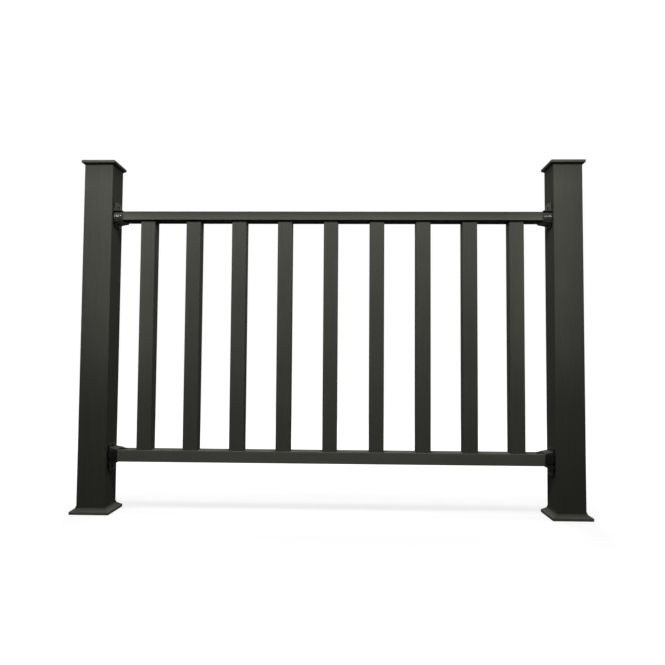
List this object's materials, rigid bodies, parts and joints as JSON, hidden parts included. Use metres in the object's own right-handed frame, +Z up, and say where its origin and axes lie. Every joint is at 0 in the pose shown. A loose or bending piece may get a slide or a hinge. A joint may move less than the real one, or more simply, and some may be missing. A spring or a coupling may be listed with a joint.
{
  "type": "deck railing section",
  "caption": "Straight deck railing bay: capped square posts with coved skirts, two rails routed for square balusters, held in black socket brackets.",
  "frame": {"origin": "centre of the left post's foot, on the underside of its anchor plate at deck level", "axes": "+X along the bay towards the right post, +Y away from the viewer of the picture, +Z up"},
  "size_m": [1.539, 0.119, 1.076],
  "materials": {
    "composite": "matte extruded wood-plastic composite, charcoal, fine brushed grain",
    "trim": "satin moulded trim, charcoal",
    "bracket_black": "gloss black powder coat on cast metal",
    "anchor_steel": "galvanised steel"
  },
  "bodies": {
    "root": {"baluster_1": "composite", "baluster_2": "composite", "baluster_3": "composite", "baluster_4": "composite", "baluster_5": "composite", "baluster_6": "composite", "baluster_7": "composite", "baluster_8": "composite", "baluster_9": "composite", "bottom_left_bracket": "bracket_black", "bottom_rail": "composite", "bottom_right_bracket": "bracket_black", "left_post": "composite", "left_post_anchor": "anchor_steel", "left_post_cap": "trim", "left_post_skirt": "trim", "right_post": "composite", "right_post_anchor": "anchor_steel", "right_post_cap": "trim", "right_post_skirt": "trim", "top_left_bracket": "bracket_black", "top_rail": "composite", "top_right_bracket": "bracket_black"}
  },
  "joints": []
}
